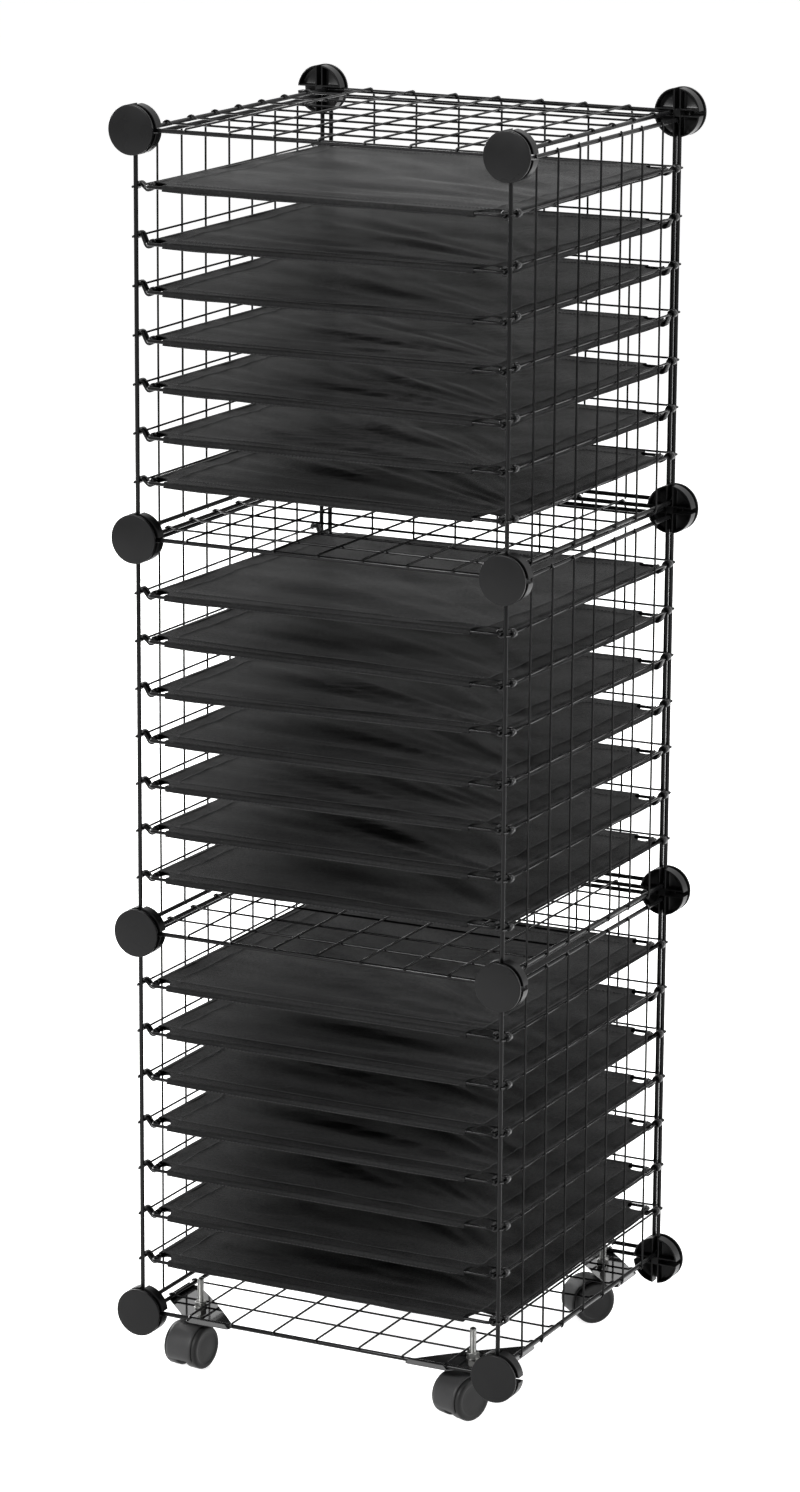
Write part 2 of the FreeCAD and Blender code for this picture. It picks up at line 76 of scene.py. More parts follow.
def carryAlong(path, outline, upright, closedPath=False):
    # Ring i is path[i] + outline x * side + outline y * upright; side = upright x direction of the path.
    # outline has one row per corner, counter-clockwise, or one such table for each path point.
    direction = np.roll(path, -1, 0) - np.roll(path, 1, 0) if closedPath else np.gradient(path, axis=0)
    side = np.cross(upright, direction)
    side /= np.linalg.norm(side, axis=1, keepdims=True)
    outline = np.broadcast_to(outline, (len(path),) + outline.shape[-2:])
    return skin(path[:, None] + outline[..., :1] * side[:, None] + outline[..., 1:] * upright, closedPath)


def roundOutline(radius, sides):
    return radius * onCircle(around(sides))


def bentRectangle(halfX, halfY, radius, perCorner):
    # Counter-clockwise rectangle: each corner is an arc, centre + radius * (cos a, sin a).
    centres = np.array([[1, 1], [-1, 1], [-1, -1], [1, -1]]) * [halfX - radius, halfY - radius]
    angle = np.arange(4)[:, None] * np.pi / 2 + np.linspace(0, np.pi / 2, perCorner)
    return (centres[:, None] + radius * onCircle(angle)).reshape(-1, 2)


def roundedOutline(corners, radius, perCorner):
    # Each corner becomes the curve (1 - t)^2 a + 2 t (1 - t) corner + t^2 b, with a and b on its two sides.
    ends = [np.roll(corners, step, 0) - corners for step in (1, -1)]
    first, last = (corners + end / np.linalg.norm(end, axis=1, keepdims=True) * radius[:, None] for end in ends)
    t = np.linspace(0, 1, perCorner)[:, None]
    curve = (1 - t) ** 2 * first[:, None] + 2 * t * (1 - t) * corners[:, None] + t ** 2 * last[:, None]
    return curve.reshape(-1, 2)


def turnProfile(profile, sides, closedPath=False):
    # A profile of (radius, height) rows is turned about Z; outward faces need it to climb on the outside.
    return skin(ringsAt(profile[:, :1], around(sides), profile[:, 1:]), closedPath)


def moved(surface, axes=np.eye(3), place=(0, 0, 0)):
    # point' = x * axes[0] + y * axes[1] + z * axes[2] + place
    return (surface[0] @ np.asarray(axes, float) + np.asarray(place, float),) + surface[1:]


def picked(settings, *names):
    return [settings[name] for name in names]


def addObject(name, data):
    item = bpy.data.objects.new(name, data)
    scene.collection.objects.link(item)
    return item


def addPiece(name, surfaces, finishNames, body, node, sharpAngle=0.7):
    # Joins surfaces into one mesh. Face arrays are turned into one long list of corners.
    corners, lengths, numbers, start = [], [], [], 0
    for surface in surfaces:
        for faces in surface[1]:
            corners.append((faces + start).ravel())
            lengths.append(np.full(len(faces), faces.shape[1]))
            numbers.append(np.full(len(faces), surface[2]))
        start += len(surface[0])
    corners, lengths, numbers = (np.concatenate(part).astype(np.int32) for part in (corners, lengths, numbers))
    mesh = bpy.data.meshes.new(name)
    mesh.vertices.add(start)
    points = np.concatenate([surface[0] for surface in surfaces]) * millimetre
    mesh.vertices.foreach_set("co", points.astype(np.float32).ravel())
    mesh.loops.add(len(corners))
    mesh.loops.foreach_set("vertex_index", corners)
    mesh.polygons.add(len(lengths))
    mesh.polygons.foreach_set("loop_start", (np.cumsum(lengths) - lengths).astype(np.int32))
    mesh.polygons.foreach_set("loop_total", lengths)
    mesh.polygons.foreach_set("material_index", numbers)
    mesh.update(calc_edges=True)
    if len(surfaces[0]) > 3:  # cloth; its stitches need no flat places
        places = [surface[3] if len(surface) > 3 else np.zeros((len(surface[0]), 2)) for surface in surfaces]
        flatLayer = mesh.uv_layers.new(name="flatPlace")
        flatLayer.data.foreach_set("uv", np.concatenate(places)[corners].astype(np.float32).ravel())
    mesh.polygons.foreach_set("use_smooth", np.ones(len(lengths), bool))
    mesh.set_sharp_from_angle(angle=sharpAngle)
    for finish in finishNames:
        mesh.materials.append(materials[finish])
    piece = addObject(name, mesh)
    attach(piece, body)
    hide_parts(node)
    return piece


# Materials

def feed(tree, node, inputs):
    # Each input, by label or place, is wired from a socket or set to a plain value.
    for label, value in inputs.items():
        if isinstance(value, bpy.types.NodeSocket):
            tree.links.new(value, node.inputs[label])
        else:
            node.inputs[label].default_value = value


def addNode(tree, kind, inputs, **attributes):
    node = tree.nodes.new("ShaderNode" + kind)
    for name, value in attributes.items():
        setattr(node, name, value)
    feed(tree, node, inputs)
    return node


def mathNode(tree, operation, *values):
    return addNode(tree, "Math", dict(enumerate(values)), operation=operation).outputs[0]


def ranged(tree, value, low, high, toLow=0, toHigh=1):
    # Stretches low to high over toLow to toHigh.
    limits = {"Value": value, "From Min": low, "From Max": high, "To Min": toLow, "To Max": toHigh}
    return addNode(tree, "MapRange", limits).outputs["Result"]


def mixed(tree, share, first, second):
    return addNode(tree, "Mix", {"Factor": share, 6: first, 7: second}, data_type="RGBA").outputs[2]


def newGroup(name, inputs, outputs):
    # Sockets come as label and kind. Gives the group's tree, its given values and the node that takes its results.
    group = bpy.data.node_groups.new(name, "ShaderNodeTree")
    for way, sockets in (("INPUT", inputs), ("OUTPUT", outputs)):
        for label, kind in sockets.items():
            group.interface.new_socket(label, in_out=way, socket_type="NodeSocket" + kind)
    return group, group.nodes.new("NodeGroupInput").outputs, group.nodes.new("NodeGroupOutput")


def newMaterial(name):
    material = bpy.data.materials.new(name)
    material.use_nodes = True
    return material, material.node_tree, material.node_tree.nodes["Principled BSDF"]


def makeGrainGroup():
    # Two noises, fine grain and slow patches. Wear = grain * patch, and the roughness follows the patch.
    tree, given, made = newGroup("surfaceGrain", {
        "Vector": "Vector", "Grain Scale": "Float", "Patch Scale": "Float", "Base Color": "Color",
        "Worn Color": "Color", "Roughness Low": "Float", "Roughness High": "Float"},
        {"Color": "Color", "Roughness": "Float", "Height": "Float"})
    grain, patch = (addNode(tree, "TexNoise", {"Vector": given["Vector"], "Scale": given[scale], "Detail": detail})
                    for scale, detail in (("Grain Scale", 3), ("Patch Scale", 4)))
    wear = mathNode(tree, "MULTIPLY", ranged(tree, patch.outputs["Fac"], 0.35, 0.7), grain.outputs["Fac"])
    feed(tree, made, {
        "Color": mixed(tree, wear, given["Base Color"], given["Worn Color"]), "Height": grain.outputs["Fac"],
        "Roughness": ranged(tree, patch.outputs["Fac"], 0.3, 0.7, given["Roughness Low"], given["Roughness High"])})
    return tree


def makeWeaveGroup():
    # Plain weave: height = |sin pi u| where the checker floor u + floor v is even, and |sin pi v| where it is odd.
    tree, given, made = newGroup("plainWeave", {"Vector": "Vector", "Threads": "Float"},
                                 {"Height": "Float", "Warp": "Float"})
    scaled = addNode(tree, "VectorMath", {0: given["Vector"], "Scale": given["Threads"]}, operation="SCALE")
    parts = addNode(tree, "SeparateXYZ", {0: scaled.outputs[0]}).outputs[:2]
    sines = [mathNode(tree, "SINE", mathNode(tree, "MULTIPLY", part, np.pi)) for part in parts]
    first, second = (mathNode(tree, "ABSOLUTE", sine) for sine in sines)
    cells = mathNode(tree, "ADD", *(mathNode(tree, "FLOOR", part) for part in parts))
    odd = mathNode(tree, "PINGPONG", cells, 1.0)
    height = addNode(tree, "Mix", {"Factor": odd, 2: first, 3: second}).outputs[0]
    feed(tree, made, {"Height": height, "Warp": odd})
    return tree


def makeMaskGroup():
    # share = (max(|x|, |y|) - seam place) / seam width; line = 1 - |share|, band = share held between 0 and 1.
    tree, given, made = newGroup("hemMasks", {"Vector": "Vector", "Seam Place": "Float", "Seam Width": "Float"},
                                 {"Band": "Float", "Line": "Float"})
    parts = addNode(tree, "SeparateXYZ", {0: given["Vector"]}).outputs[:2]
    far = mathNode(tree, "MAXIMUM", *(mathNode(tree, "ABSOLUTE", part) for part in parts))
    share = mathNode(tree, "DIVIDE", mathNode(tree, "SUBTRACT", far, given["Seam Place"]), given["Seam Width"])
    line = mathNode(tree, "SUBTRACT", 1.0, mathNode(tree, "ABSOLUTE", share))
    band = mathNode(tree, "MAXIMUM", mathNode(tree, "MINIMUM", share, 1.0), 0.0)
    feed(tree, made, {"Line": mathNode(tree, "MAXIMUM", line, 0.0), "Band": band})
    return tree


grainGroup, weaveGroup = makeGrainGroup(), makeWeaveGroup()
finishes = {
    "coatedWire": {"colour": (0.0035, 0.0035, 0.0037), "wornColour": (0.010, 0.010, 0.0104), "roughness": (0.14, 0.24),
                   "grainScale": 900, "patchScale": 9, "bump": 0.05, "shine": 0.12},
    "connectorPlastic": {"colour": (0.005, 0.005, 0.0052), "wornColour": (0.011, 0.011, 0.0113),
                         "roughness": (0.26, 0.36), "grainScale": 1500, "patchScale": 25, "bump": 0.14, "shine": 0.14},
    "clipPlastic": {"colour": (0.005, 0.005, 0.0053), "wornColour": (0.014, 0.014, 0.0145), "roughness": (0.2, 0.3),
                    "grainScale": 1500, "patchScale": 40, "bump": 0.12, "shine": 0.2},
    "platePaint": {"colour": (0.004, 0.004, 0.0042), "wornColour": (0.014, 0.014, 0.014), "roughness": (0.05, 0.12),
                   "grainScale": 600, "patchScale": 20, "bump": 0.02, "shine": 0.6, "coat": 0.5,
                   "coatRoughness": 0.04},
    "zincSteel": {"colour": (0.29, 0.29, 0.28), "wornColour": (0.16, 0.16, 0.155), "roughness": (0.3, 0.45),
                  "grainScale": 1800, "patchScale": 90, "bump": 0.1, "metallic": 1},
    "hoodPlastic": {"colour": (0.034, 0.034, 0.0345), "wornColour": (0.054, 0.054, 0.055), "roughness": (0.4, 0.55),
                    "grainScale": 1600, "patchScale": 30, "bump": 0.2, "shine": 0.2},
    "wheelPlastic": {"colour": (0.014, 0.014, 0.0143), "wornColour": (0.025, 0.0248, 0.0244), "roughness": (0.36, 0.5),
                     "grainScale": 1200, "patchScale": 35, "bump": 0.12, "shine": 0.16},
    "seamThread": {"colour": (0.034, 0.034, 0.0345), "wornColour": (0.075, 0.075, 0.076), "roughness": (0.6, 0.75),
                   "grainScale": 2500, "patchScale": 60, "bump": 0.3, "shine": 0.2},
}
grainDepth = 0.0004  # metres


def makeFinish(name, settings):
    # Principled finish whose colour, roughness and fine bump come from the shared grain group.
    material, tree, shader = newMaterial(name)
    places = addNode(tree, "TexCoord", {}).outputs["Object"]
    grain = addNode(tree, "Group", {
        "Vector": places, "Grain Scale": settings["grainScale"], "Patch Scale": settings["patchScale"],
        "Base Color": (*settings["colour"], 1), "Worn Color": (*settings["wornColour"], 1),
        "Roughness Low": settings["roughness"][0], "Roughness High": settings["roughness"][1]},
        node_tree=grainGroup).outputs
    bump = addNode(tree, "Bump", {"Strength": settings["bump"], "Distance": grainDepth, "Height": grain["Height"]})
    feed(tree, shader, {
        "Normal": bump.outputs["Normal"], "Base Color": grain["Color"], "Roughness": grain["Roughness"],
        "Metallic": settings.get("metallic", 0), "Specular IOR Level": settings.get("shine", 0.5),
        "Coat Weight": settings.get("coat", 0), "Coat Roughness": settings.get("coatRoughness", 0.1)})
    return material


clothFinish = {
    "warpColour": (0.021, 0.021, 0.0212), "weftColour": (0.031, 0.031, 0.0313), "threads": 1400,
    "threadDepth": 0.0003, "roughness": 0.36, "shine": 0.01, "bump": 0.35, "paintedCreaseLightStretch": (3.0, 17.0),
    "paintedCreaseLightTurn": -9, "lintColour": (0.06, 0.06, 0.06), "bandShade": 0.86, "seamShade": 1.6, "seamPlace": 0.1525,
    "seamWidth": 0.0013,
    # each noise: its scale and detail, the part of it that counts, and the shades that this part becomes
    # the stretched crease noise is painted light and shade: lighter and darker bands where soft creases would catch or
    # lose the light
    "paintedCreaseLight": (1, 2, 0.32, 0.72, 0.82, 1.24), "fade": (26, 6, 0.3, 0.75, 0.9, 1.12),
    "mottle": (330, 3, 0.3, 0.7, 0.82, 1.2), "lint": (420, 1, 0.72, 0.8, 0, 0.8),
}


def makeCloth(settings):
    # Woven cloth on its own flat places: two thread colours, painted light and shade of soft creases, fading, hem
    # band, seam line and lint.
    material, tree, shader = newMaterial("wovenCloth")
    flat = addNode(tree, "UVMap", {}, uv_map="flatPlace").outputs["UV"]
    weave = addNode(tree, "Group", {"Threads": settings["threads"], "Vector": flat}, node_tree=weaveGroup).outputs
    masks = addNode(tree, "Group", {"Seam Place": settings["seamPlace"], "Seam Width": settings["seamWidth"],
                                    "Vector": flat}, node_tree=makeMaskGroup()).outputs
    turn = (0, 0, np.radians(settings["paintedCreaseLightTurn"]))
    stretched = addNode(tree, "Mapping", {"Scale": (*settings["paintedCreaseLightStretch"], 1), "Rotation": turn, "Vector": flat})

    def uneven(name, vector=flat):
        scale, detail, *limits = settings[name]
        noise = addNode(tree, "TexNoise", {"Scale": scale, "Detail": detail, "Vector": vector})
        return ranged(tree, noise.outputs["Fac"], *limits)

    # Stretched, turned noise paints the light and shade of soft creases into the colour and, squared, into the shine
    shade = uneven("paintedCreaseLight", stretched.outputs["Vector"])
    for part in (uneven("fade"), uneven("mottle"), ranged(tree, masks["Band"], 0, 1, 1, settings["bandShade"]),
                 ranged(tree, masks["Line"], 0, 1, 1, settings["seamShade"])):
        shade = mathNode(tree, "MULTIPLY", shade, part)
    threads = mixed(tree, weave["Warp"], (*settings["warpColour"], 1), (*settings["weftColour"], 1))
    shaded = addNode(tree, "VectorMath", {0: threads, "Scale": shade}, operation="SCALE").outputs[0]
    bump = addNode(tree, "Bump", {"Strength": settings["bump"], "Distance": settings["threadDepth"],
                                  "Height": weave["Height"]})
    feed(tree, shader, {
        "Base Color": mixed(tree, uneven("lint"), shaded, (*settings["lintColour"], 1)),
        "Normal": bump.outputs["Normal"], "Roughness": settings["roughness"],
        "Specular IOR Level": mathNode(tree, "MULTIPLY", mathNode(tree, "POWER", shade, 2.0), settings["shine"])})
    return material


materials = {name: makeFinish(name, settings) for name, settings in finishes.items()}
materials["wovenCloth"] = makeCloth(clothFinish)
print("materials made")


# Wire-grid panels

panelSizes = {
    "span": 346.0, "cells": 8, "rodRadius": 2.0, "wireRadius": 1.0, "bend": 8.0, "overhang": 3.4, "hookDrop": 1.7,
    "joggle": 4.2, "bow": 0.45, "rodSides": 12, "wireSides": 8,
}
tower = {"pitch": 359.0, "base": 53.0, "sidePlane": 179.5, "backPlane": 177.75, "levels": 4}


def hookedEnds(lengthwise, height, settings):
    # Both ends climb to the rod's crown and dip beyond it; the table is mirrored about the middle.
    half, crown = settings["span"] / 2, settings["rodRadius"] + settings["wireRadius"]
    joggle, drop = picked(settings, "joggle", "hookDrop")
    end = np.array([[half - 2 * joggle, height], [half - joggle, height + 0.15 * (crown - height)],
                    [half - 2.2, height + 0.85 * (crown - height)], [half, crown],
                    [half + 1.9, crown - 0.35 * drop], [half + settings["overhang"], crown - drop]])
    middle = np.stack([lengthwise, np.full(len(lengthwise), height)], 1)
    return np.concatenate([end[::-1] * [-1, 1], middle, end])


def makeGrid(settings):
    # One panel in its own X and Y with the wires towards +Z, a little different from every other.
    half, grid = settings["span"] / 2, settings["span"] / settings["cells"]
    loop = bentRectangle(half, half, settings["bend"], 6)
    rod = np.column_stack([loop, np.zeros(len(loop))])
    surfaces = [carryAlong(rod, roundOutline(settings["rodRadius"], settings["rodSides"]), zAxis, True)]
    section = roundOutline(settings["wireRadius"], settings["wireSides"])
    inner = np.linspace(-0.75, 0.75, 5) * half
    crown = settings["rodRadius"] + settings["wireRadius"]
    for number in range(1, settings["cells"]):
        offset = number * grid - half
        for across, height in ((False, crown), (True, crown - 2 * settings["wireRadius"])):
            line = hookedEnds(inner, height, settings)
            bow = chance.normal(0, settings["bow"]) * np.cos(line[:, 0] / half * np.pi / 2)
            if across:  # along X, under the others
                surfaces.append(carryAlong(np.column_stack([line[:, 0], offset + bow, line[:, 1]]), section, yAxis))
            else:  # along Y
                surfaces.append(carryAlong(np.column_stack([offset + bow, line]), section, xAxis))
    return surfaces


panelAxes = {  # where a panel's own X, Y and wire side point
    "floor": (xAxis, yAxis, zAxis), "right": (yAxis, zAxis, xAxis),
    "left": (-yAxis, zAxis, -xAxis), "back": (-xAxis, zAxis, yAxis),
}
panels = [(f"levelGrid.{level}", node, "floor", 0, 0, level) for level, node in
          enumerate(("base_panel", "floor_1_panel", "floor_2_panel", "top_panel"))]
for tier in range(3):
    for side, x, y in (("right", tower["sidePlane"], 0), ("left", -tower["sidePlane"], 0),
                       ("back", 0, tower["backPlane"])):
        panels.append((f"{side}Grid.{tier + 1}", f"tier_{tier + 1}_{side}_panel", side, x, y, tier + 0.5))
for name, node, side, x, y, level in panels:
    place = (x, y, tower["base"] + level * tower["pitch"])
    surfaces = [moved(surface, panelAxes[side], place) for surface in makeGrid(panelSizes)]
    addPiece(name, surfaces, ["coatedWire"], "tower", node)
print("panels made")


# Corner connectors

connectorSizes = {
    "radius": 22.0, "capStart": 4.5, "capThickness": 2.4, "dome": 1.1, "edge": 0.8, "core": 9.0, "lugDepth": 10.0,
    "slot": 4.5, "hub": 7.0, "wall": 1.5, "floor": 2.0, "start": 175.5,
}


def makeCap(settings):
    # Turned cap: flat inside, rounded edge and low dome 1 - (r / R)^2.
    radius, edge, low = settings["radius"], settings["edge"], settings["capStart"]
    high = low + settings["capThickness"]
    angle = np.linspace(0, np.pi / 2, 5)
    lowEdge = np.stack([radius - 0.5 + 0.5 * np.sin(angle), low + 0.5 - 0.5 * np.cos(angle)], 1)
    highEdge = np.stack([radius - edge + edge * np.cos(angle), high - edge + edge * np.sin(angle)], 1)
    across = np.linspace(radius - edge - 1.2, 0.05, 9)
    dome = np.stack([across, high + settings["dome"] * (1 - (across / (radius - edge)) ** 2)], 1)
    profile = np.concatenate([[[settings["core"] - 1, low]], lowEdge, highEdge, dome])
    return turnProfile(profile, 48)


def lugOutline(settings, inset):
    # Quarter of the disc between two slots, counter-clockwise, moved in by inset on every side.
    near, radius = settings["slot"] / 2 + inset, settings["radius"] - inset
    low = np.arcsin(near / radius)
    arc = radius * onCircle(np.linspace(low, np.pi / 2 - low, 11))
    straight = np.linspace(radius * np.cos(low), near, 6)[1:-1]
    upper = np.stack([np.full(4, near), straight], 1)
    lower = np.stack([straight[::-1], np.full(4, near)], 1)
    return np.concatenate([arc, upper, [[near, near]], lower])


def makeLug(settings):
    # Rings from the groove side down the outside, over the open rim and up the hollow to its floor.
    wall, depth, bevel = settings["wall"], settings["lugDepth"], 0.35
    steps = [(3 * bevel, 0), (bevel, 0), (0, -bevel), (0, -depth + bevel), (bevel, -depth), (wall - bevel, -depth),
             (wall, -depth + bevel), (wall + 0.3, -settings["floor"] - bevel), (wall + 1.2, -settings["floor"])]
    rings = np.stack([np.column_stack([lugOutline(settings, inset), np.full(20, height)]) for inset, height in steps])
    return skin(rings[:, ::-1])


def makeConnector(settings):
    # Four lugs, the core in the groove, the square hub between the lugs, and the cap.
    lug = makeLug(settings)
    depth, core, low = picked(settings, "lugDepth", "core", "capStart")
    coreProfile = np.array([[core, -0.4], [core, 0.2], [core - 0.6, 0.8], [core - 0.6, low + 0.5]])
    hub = bentRectangle(settings["hub"] / 2, settings["hub"] / 2, 0.5, 2)
    return [moved(lug, axes) for axes in quarters] + [
        turnProfile(coreProfile, 32), carryAlong(np.array([[0, 0, -depth + 0.2], [0, 0, 0.3]]), hub, yAxis),
        makeCap(settings)]


connector = makeConnector(connectorSizes)
for end, axes in (("front", (xAxis, zAxis, -yAxis)), ("rear", (xAxis, -zAxis, yAxis))):
    surfaces = []
    for level in range(tower["levels"]):
        for hand in (-1, 1):
            outward, up = axes[2][1] * connectorSizes["start"], tower["base"] + level * tower["pitch"]
            surfaces += [moved(surface, axes, (hand * tower["sidePlane"], outward, up)) for surface in connector]
    addPiece(f"{end}Connectors", surfaces, ["connectorPlastic"], "tower", f"{end}_connectors")
print("connectors made")


# Shelf frames and their clips

shelfSizes = {
    "width": 343.0, "depth": 342.0, "wireRadius": 1.5, "bend": 5.0, "pitch": 43.25, "first": 44.75, "count": 7,
    "thickness": 0.8,
}
# How far each shelf's front left, front right, rear left and rear right corners stand above level. Tiers and the
# shelves in them are counted from below.
shelfLifts = [
    [(3.5, 2.4, 5.0, 5.0), (3.7, 2.6, 1.1, 0.0), (3.9, 3.1, 2.1, 1.3), (3.1, 2.6, 0.5, 0.0),
     (4.2, 2.6, 4.5, 2.9), (3.3, 3.8, -3.0, -2.9), (4.4, 5.0, 1.8, 3.0)],
    [(5.0, 5.0, 2.5, 3.4), (5.0, 5.0, -1.2, -1.1), (3.1, 5.0, -3.0, -1.0), (1.5, 0.3, -1.5, -2.7),
     (1.1, 5.0, -3.0, -3.0), (5.0, 1.7, 1.9, -2.5), (2.9, 5.0, -2.2, 0.0)],
    [(4.6, 3.3, 4.4, 3.1), (1.4, 1.7, -2.6, -2.3), (2.0, -0.8, 0.1, -2.7), (0.4, 1.0, -3.0, -3.0),
     (0.0, -0.6, 0.6, 0.0), (-1.4, -0.3, -2.2, -1.1), (5.0, 3.8, 2.4, 3.2)],
]


def shelfHeight(tier, shelf):
    return tower["base"] + tier * tower["pitch"] + shelfSizes["first"] + shelf * shelfSizes["pitch"]


def liftAt(x, y, tier, shelf):
    # Bilinear: share along X and Y times the corner values. Every shelf hangs a little out of level.
    right = np.clip(x / shelfSizes["width"] + 0.5, 0, 1)
    rear = np.clip(y / shelfSizes["depth"] + 0.5, 0, 1)
    corners = np.reshape(shelfLifts[tier][shelf], (2, 2))
    front, back = (row[0] + (row[1] - row[0]) * right for row in corners)
    return front + (back - front) * rear


def hung(surface, tier, shelf):
    # Raises a shelf piece to its own height and tilt.
    points = surface[0] + [0, 0, shelfHeight(tier, shelf)]
    points[:, 2] += liftAt(points[:, 0], points[:, 1], tier, shelf)
    return (points,) + surface[1:]


loop = bentRectangle(shelfSizes["width"] / 2, shelfSizes["depth"] / 2, shelfSizes["bend"], 5)
loop = np.column_stack([loop, np.zeros(len(loop))])
frameRing = carryAlong(loop, roundOutline(shelfSizes["wireRadius"], 12), zAxis, True)
for tier in range(3):
    addPiece(f"shelfFrames.{tier + 1}", [hung(frameRing, tier, shelf) for shelf in range(shelfSizes["count"])],
             ["coatedWire"], "tower", f"tier_{tier + 1}_shelf_frames")

clipSizes = {
    "panelWire": (180.5, 5.0), "frameWire": (171.5, 0.0),  # places of the two wires, from the shelf frame's height
    "panelHook": 2.65, "frameHook": 3.1, "thickness": 3.0, "length": 7.0, "setback": 163.0, "edge": 0.5,
}


def makeClip(settings, hand, along, lift):
    # Arc over the panel wire, straight run to the frame wire, and arc under and round it.
    # The run is tangent to both circles: its angle is that of the centres plus asin((r1 + r2) / distance).
    over, under = settings["panelHook"], settings["frameHook"]
    first, second = np.array(settings["panelWire"]), np.array(settings["frameWire"]) + [0, lift]
    apart = second - first
    lean = np.arcsin((over + under) / max(np.hypot(*apart), over + under + 0.1))
    run = np.arctan2(apart[1], apart[0]) % (2 * np.pi) + lean
    overTurn = np.linspace(np.radians(-60), run - np.pi / 2, 9)
    underTurn = np.linspace(run + np.pi / 2 - 2 * np.pi, np.radians(-245), 11)
    line = np.concatenate([first + over * onCircle(overTurn), second + under * onCircle(underTurn)])
    path = np.column_stack([hand * line[:, 0], np.full(len(line), along), line[:, 1]])
    strip = bentRectangle(settings["thickness"] / 2, settings["length"] / 2, settings["edge"], 2)
    thick = 1 - 0.3 * np.linspace(-1, 1, len(line)) ** 8  # the hook's ends taper
    return carryAlong(path, strip * np.stack([thick, np.ones(len(line))], 1)[:, None], yAxis)


surfaces = []
for tier in range(3):
    for shelf in range(shelfSizes["count"]):
        for hand in (-1, 1):
            for end in (-1, 1):
                along = end * clipSizes["setback"]
                lift = liftAt(hand * clipSizes["frameWire"][0], along, tier, shelf)
                clip = makeClip(clipSizes, hand, along, lift)
                surfaces.append(moved(clip, place=(0, 0, shelfHeight(tier, shelf))))
addPiece("shelfClips", surfaces, ["clipPlastic"], "tower", "shelf_clips", 0.9)
print("shelf frames and clips made")


# Cloth shelves

clothSizes = {
    "sag": 2.6, "crease": 1.15, "creases": (5, 9), "seamInset": 20.0, "seamRise": 0.3, "rings": 26, "perSide": 34,
    "perCut": 12, "hem": 19.5, "hang": 3.4, "hangAtCut": 3.1, "stitch": 2.5, "stitchPitch": 3.6, "stitchWidth": 0.7,
    "cuts": {(-1, -1): (2.0, 2.0, 17.0), (1, -1): (8.0, 1.0, 20.0), (-1, 1): (3.0, 2.0, 17.0),
             (1, 1): (4.0, 2.0, 17.5)},
}


def clothOutline(settings, edgeX, edgeY):
    # Counter-clockwise outline: straight sides joined by hollow arcs, centre + radius * (cos a, sin a). Each
    # corner's cut gives its circle's distance in from the side edge, from the front or rear edge, and radius.
    cuts = []
    for signs in ((1, 1), (-1, 1), (-1, -1), (1, -1)):
        inX, inY, radius = settings["cuts"][signs]
        angle = np.linspace(np.arccos(-inX / radius), -np.arcsin(inY / radius), settings["perCut"])
        inward = np.array([inX, inY]) + radius * onCircle(angle)
        cut = (np.array([edgeX, edgeY]) - inward) * signs
        cuts.append(cut if signs[0] == signs[1] else cut[::-1])
    share = np.linspace(0, 1, settings["perSide"] + 2)[1:-1, None]
    sides = [last[-1] + share * (first[0] - last[-1]) for last, first in zip([cuts[-1]] + cuts[:-1], cuts)]
    return np.concatenate([part for pair in zip(sides, cuts) for part in pair])


def makeRelief(settings, dice):
    # Height of the cloth at any place: a sag that is zero at the wires, creases that fan out from the front
    # right corner (sine of the angle seen from a point beyond it) and fade at the edges, and a raised seam.
    halfX, halfY, wire = shelfSizes["width"] / 2, shelfSizes["depth"] / 2, shelfSizes["wireRadius"]
    sag = settings["sag"] * dice.uniform(0.6, 1.3)
    centre = np.array([halfX + dice.uniform(40, 120), -halfY - dice.uniform(-40, 60)])
    folds = [(dice.uniform(0.4, 1.0) * settings["crease"] / (1 + 0.5 * fold),
              dice.uniform(*settings["creases"]) * (1 + fold), dice.uniform(0, 6.3), dice.uniform(2, 5))
             for fold in range(3)]

    def relief(x, y):
        inX, inY = np.clip(1 - (x / halfX) ** 2, 0, 1), np.clip(1 - (y / halfY) ** 2, 0, 1)
        height = -sag * (inX * inY) ** 0.75
        angle, far = np.arctan2(y - centre[1], centre[0] - x), np.hypot(x - centre[0], y - centre[1]) / halfX
        for size, count, phase, wander in folds:
            height = height + size * (inX * inY) ** 0.4 * np.sin(count * angle * np.pi + phase + np.sin(far * wander))
        for distance in (halfX + wire - np.abs(x), halfY + wire - np.abs(y)):
            height = height + settings["seamRise"] * np.exp(-((distance - settings["seamInset"]) / 1.6) ** 2)
        return height
    return relief


def makeSheetSurface(relief, settings):
    # Rings of the notched outline shrink to the middle: under side outwards, round the edge, upper side inwards.
    # They stand close together near the seam and wider apart in the middle.
    outline = clothOutline(settings, shelfSizes["width"] / 2 + 0.4, shelfSizes["depth"] / 2 + 0.4)
    share = np.r_[1, 1 - np.array([1.6, 5, 9, 13, 16, 17.4, 18.6, 19.8, 21, 22.4, 25]) / 172,
                  np.linspace(0.81, 0.01, settings["rings"] - 12)]
    flat = share[:, None, None] * outline
    height = relief(flat[..., 0], flat[..., 1])
    top = np.concatenate([flat, (height + shelfSizes["wireRadius"] + shelfSizes["thickness"])[..., None]], -1)
    under = top - [0, 0, shelfSizes["thickness"]]
    points, faces, number = skin(np.concatenate([under[::-1], top]))
    return points, faces, number, points[:, :2] * millimetre


def sideSizes(turn):
    # Half the width across a side's direction and half the length along it.
    sizes = (shelfSizes["width"] / 2, shelfSizes["depth"] / 2)
    return sizes if turn % 2 == 0 else sizes[::-1]


def turnedPlaces(outward, run, turn):
    cos, sin = np.cos(turn * np.pi / 2), np.sin(turn * np.pi / 2)
    return np.array([outward * cos - run * sin, outward * sin + run * cos])


